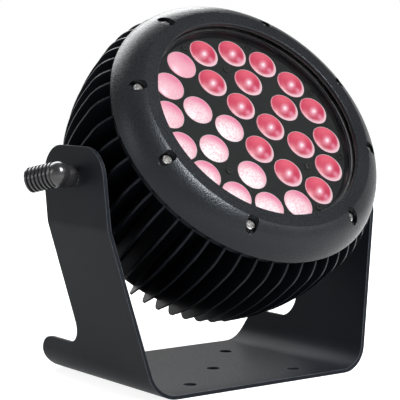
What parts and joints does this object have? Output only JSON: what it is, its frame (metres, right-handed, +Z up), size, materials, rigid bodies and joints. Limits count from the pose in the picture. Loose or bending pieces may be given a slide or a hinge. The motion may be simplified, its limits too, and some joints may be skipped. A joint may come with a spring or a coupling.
{
  "type": "par can light",
  "caption": "Round LED wash light with a finned body and a bezel-framed lens array, tilting in a bent steel floor yoke held by side levers.",
  "frame": {"origin": "centre of the clamp hole in the yoke's base, on its underside, straight below the tilt axis", "axes": "+Z up from the surface the yoke stands on; X along the tilt axis; -Y towards the side the beam leaves from"},
  "size_m": [0.339, 0.2387, 0.3026],
  "materials": {
    "yoke_coat": "satin",
    "casting_coat": "satin",
    "bezel_coat": "satin",
    "cover_coat": "satin",
    "black_steel": "gloss",
    "front_glass": "polished",
    "mask_black": "matte",
    "lens_clear": "polished",
    "stainless": "polished",
    "zinc_steel": "satin",
    "seal_rubber": "matte",
    "lever_plastic": "gloss",
    "grip_plastic": "gloss",
    "holder_plastic": "matte",
    "circuit_board": "satin",
    "thermal_pad": "matte",
    "emitter": "gloss",
    "power_case": "satin",
    "cable_sheath": "matte",
    "display_window": "polished",
    "display_body": "satin",
    "switch_plastic": "satin",
    "button_rubber": "matte",
    "socket_plastic": "satin",
    "power_socket_plastic": "satin",
    "contact_metal": "polished",
    "vent_plastic": "satin"
  },
  "bodies": {
    "yoke": {"yoke": "yoke_coat"},
    "head": {"bezel_screws": "stainless", "body_gasket": "seal_rubber", "cable_grommet": "seal_rubber", "display_module": "display_body", "display_window": "display_window", "dmx_input": "socket_plastic", "dmx_output": "socket_plastic", "driver_board": "circuit_board", "driver_posts": "zinc_steel", "emitters": "emitter", "friction_disc_left": "seal_rubber", "friction_disc_right": "seal_rubber", "front_bezel": "bezel_coat", "front_glass": "front_glass", "glass_gasket": "seal_rubber", "heatsink": "casting_coat", "key_switches": "switch_plastic", "lamp_board": "circuit_board", "lamp_cable": "cable_sheath", "lens_holders": "holder_plastic", "lens_plate": "mask_black", "lens_plate_screws": "black_steel", "lenses_inner": "lens_clear", "lenses_middle": "lens_clear", "lenses_outer": "lens_clear", "mains_cable": "cable_sheath", "panel_board": "circuit_board", "panel_posts": "zinc_steel", "pivot_insert_left": "zinc_steel", "pivot_insert_right": "zinc_steel", "plate_posts": "zinc_steel", "power_inlet": "power_socket_plastic", "power_outlet": "power_socket_plastic", "power_supply": "power_case", "power_supply_screws": "zinc_steel", "pressure_vent": "vent_plastic", "rear_cover": "cover_coat", "rear_gasket": "seal_rubber", "rear_screws": "stainless", "safety_eye": "zinc_steel", "safety_eye_rivets": "stainless", "socket_contacts": "contact_metal", "socket_screws": "stainless", "thermal_pad": "thermal_pad"},
    "lever_left": {"lever_hub_left": "lever_plastic", "lever_grip_left": "grip_plastic", "lever_stud_left": "zinc_steel", "lever_washer_left": "stainless"},
    "lever_right": {"lever_hub_right": "lever_plastic", "lever_grip_right": "grip_plastic", "lever_stud_right": "zinc_steel", "lever_washer_right": "stainless"},
    "button_1": {"button_1": "button_rubber"},
    "button_2": {"button_2": "button_rubber"},
    "button_3": {"button_3": "button_rubber"},
    "button_4": {"button_4": "button_rubber"}
  },
  "joints": [
    {"name": "head_tilt", "type": "hinge", "parent": "yoke", "child": "head", "pos_m": [0, 0, 0.1696], "axis": [1, 0, 0], "continuous": true},
    {"name": "lever_left_turn", "type": "hinge", "parent": "head", "child": "lever_left", "pos_m": [-0.1362, 0, 0.1696], "axis": [-1, 0, 0], "range_deg": [0, 270]},
    {"name": "lever_right_turn", "type": "hinge", "parent": "head", "child": "lever_right", "pos_m": [0.1362, 0, 0.1696], "axis": [1, 0, 0], "range_deg": [0, 270]},
    {"name": "button_1_press", "type": "slide", "parent": "head", "child": "button_1", "axis": [0, -0.808, 0.5892], "range_m": [0, 0.0008], "stiffness_N_per_m": 500, "springref_m": -0.001},
    {"name": "button_2_press", "type": "slide", "parent": "head", "child": "button_2", "axis": [0, -0.808, 0.5892], "range_m": [0, 0.0008], "stiffness_N_per_m": 500, "springref_m": -0.001},
    {"name": "button_3_press", "type": "slide", "parent": "head", "child": "button_3", "axis": [0, -0.808, 0.5892], "range_m": [0, 0.0008], "stiffness_N_per_m": 500, "springref_m": -0.001},
    {"name": "button_4_press", "type": "slide", "parent": "head", "child": "button_4", "axis": [0, -0.808, 0.5892], "range_m": [0, 0.0008], "stiffness_N_per_m": 500, "springref_m": -0.001}
  ]
}
